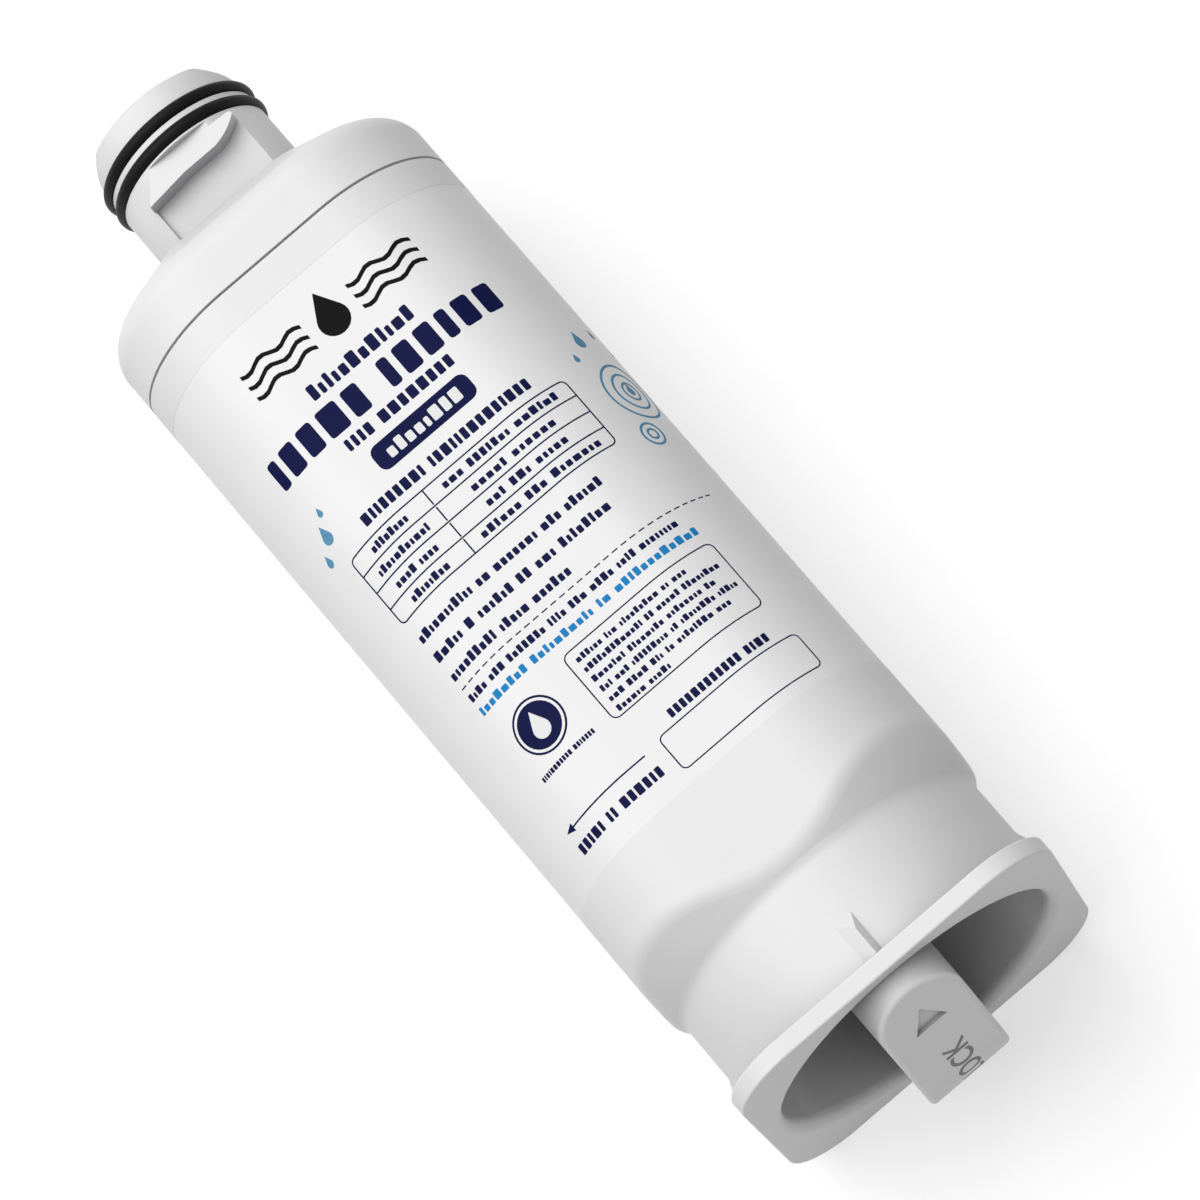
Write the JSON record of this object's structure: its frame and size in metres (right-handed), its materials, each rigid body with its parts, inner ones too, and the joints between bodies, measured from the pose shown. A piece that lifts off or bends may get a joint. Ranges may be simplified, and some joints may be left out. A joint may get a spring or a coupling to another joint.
{
  "type": "refrigerator water filter cartridge",
  "caption": "Twist-in refrigerator water filter cartridge: rounded-square white canister with a sealed bayonet nozzle at one end and a finger recess with a turning bar at the other.",
  "frame": {"origin": "middle of the cartridge's box, on the surface that its back flat lies on", "axes": "+Y along the cartridge's axis towards the nozzle, +Z out of the label's front, +X across it"},
  "size_m": [0.066, 0.2248, 0.066],
  "materials": {
    "white_polypropylene": "moulded, satin",
    "printed_film": "printed polypropylene film, semi-gloss",
    "seal_rubber": "EPDM, lightly greased",
    "pressed_carbon": "pressed activated carbon with a plastic binder",
    "white_fleece": "non-woven polypropylene",
    "natural_polypropylene": "moulded, uncoloured"
  },
  "bodies": {
    "root": {"housing": "white_polypropylene", "head_cap": "white_polypropylene", "label_film": "printed_film", "nozzle_seal_outer": "seal_rubber", "nozzle_seal_inner": "seal_rubber", "carbon_block": "pressed_carbon", "prefilter_fleece": "white_fleece", "lower_end_cap": "natural_polypropylene", "upper_end_cap": "natural_polypropylene", "spigot_seal_lower": "seal_rubber", "spigot_seal_upper": "seal_rubber"}
  },
  "joints": []
}
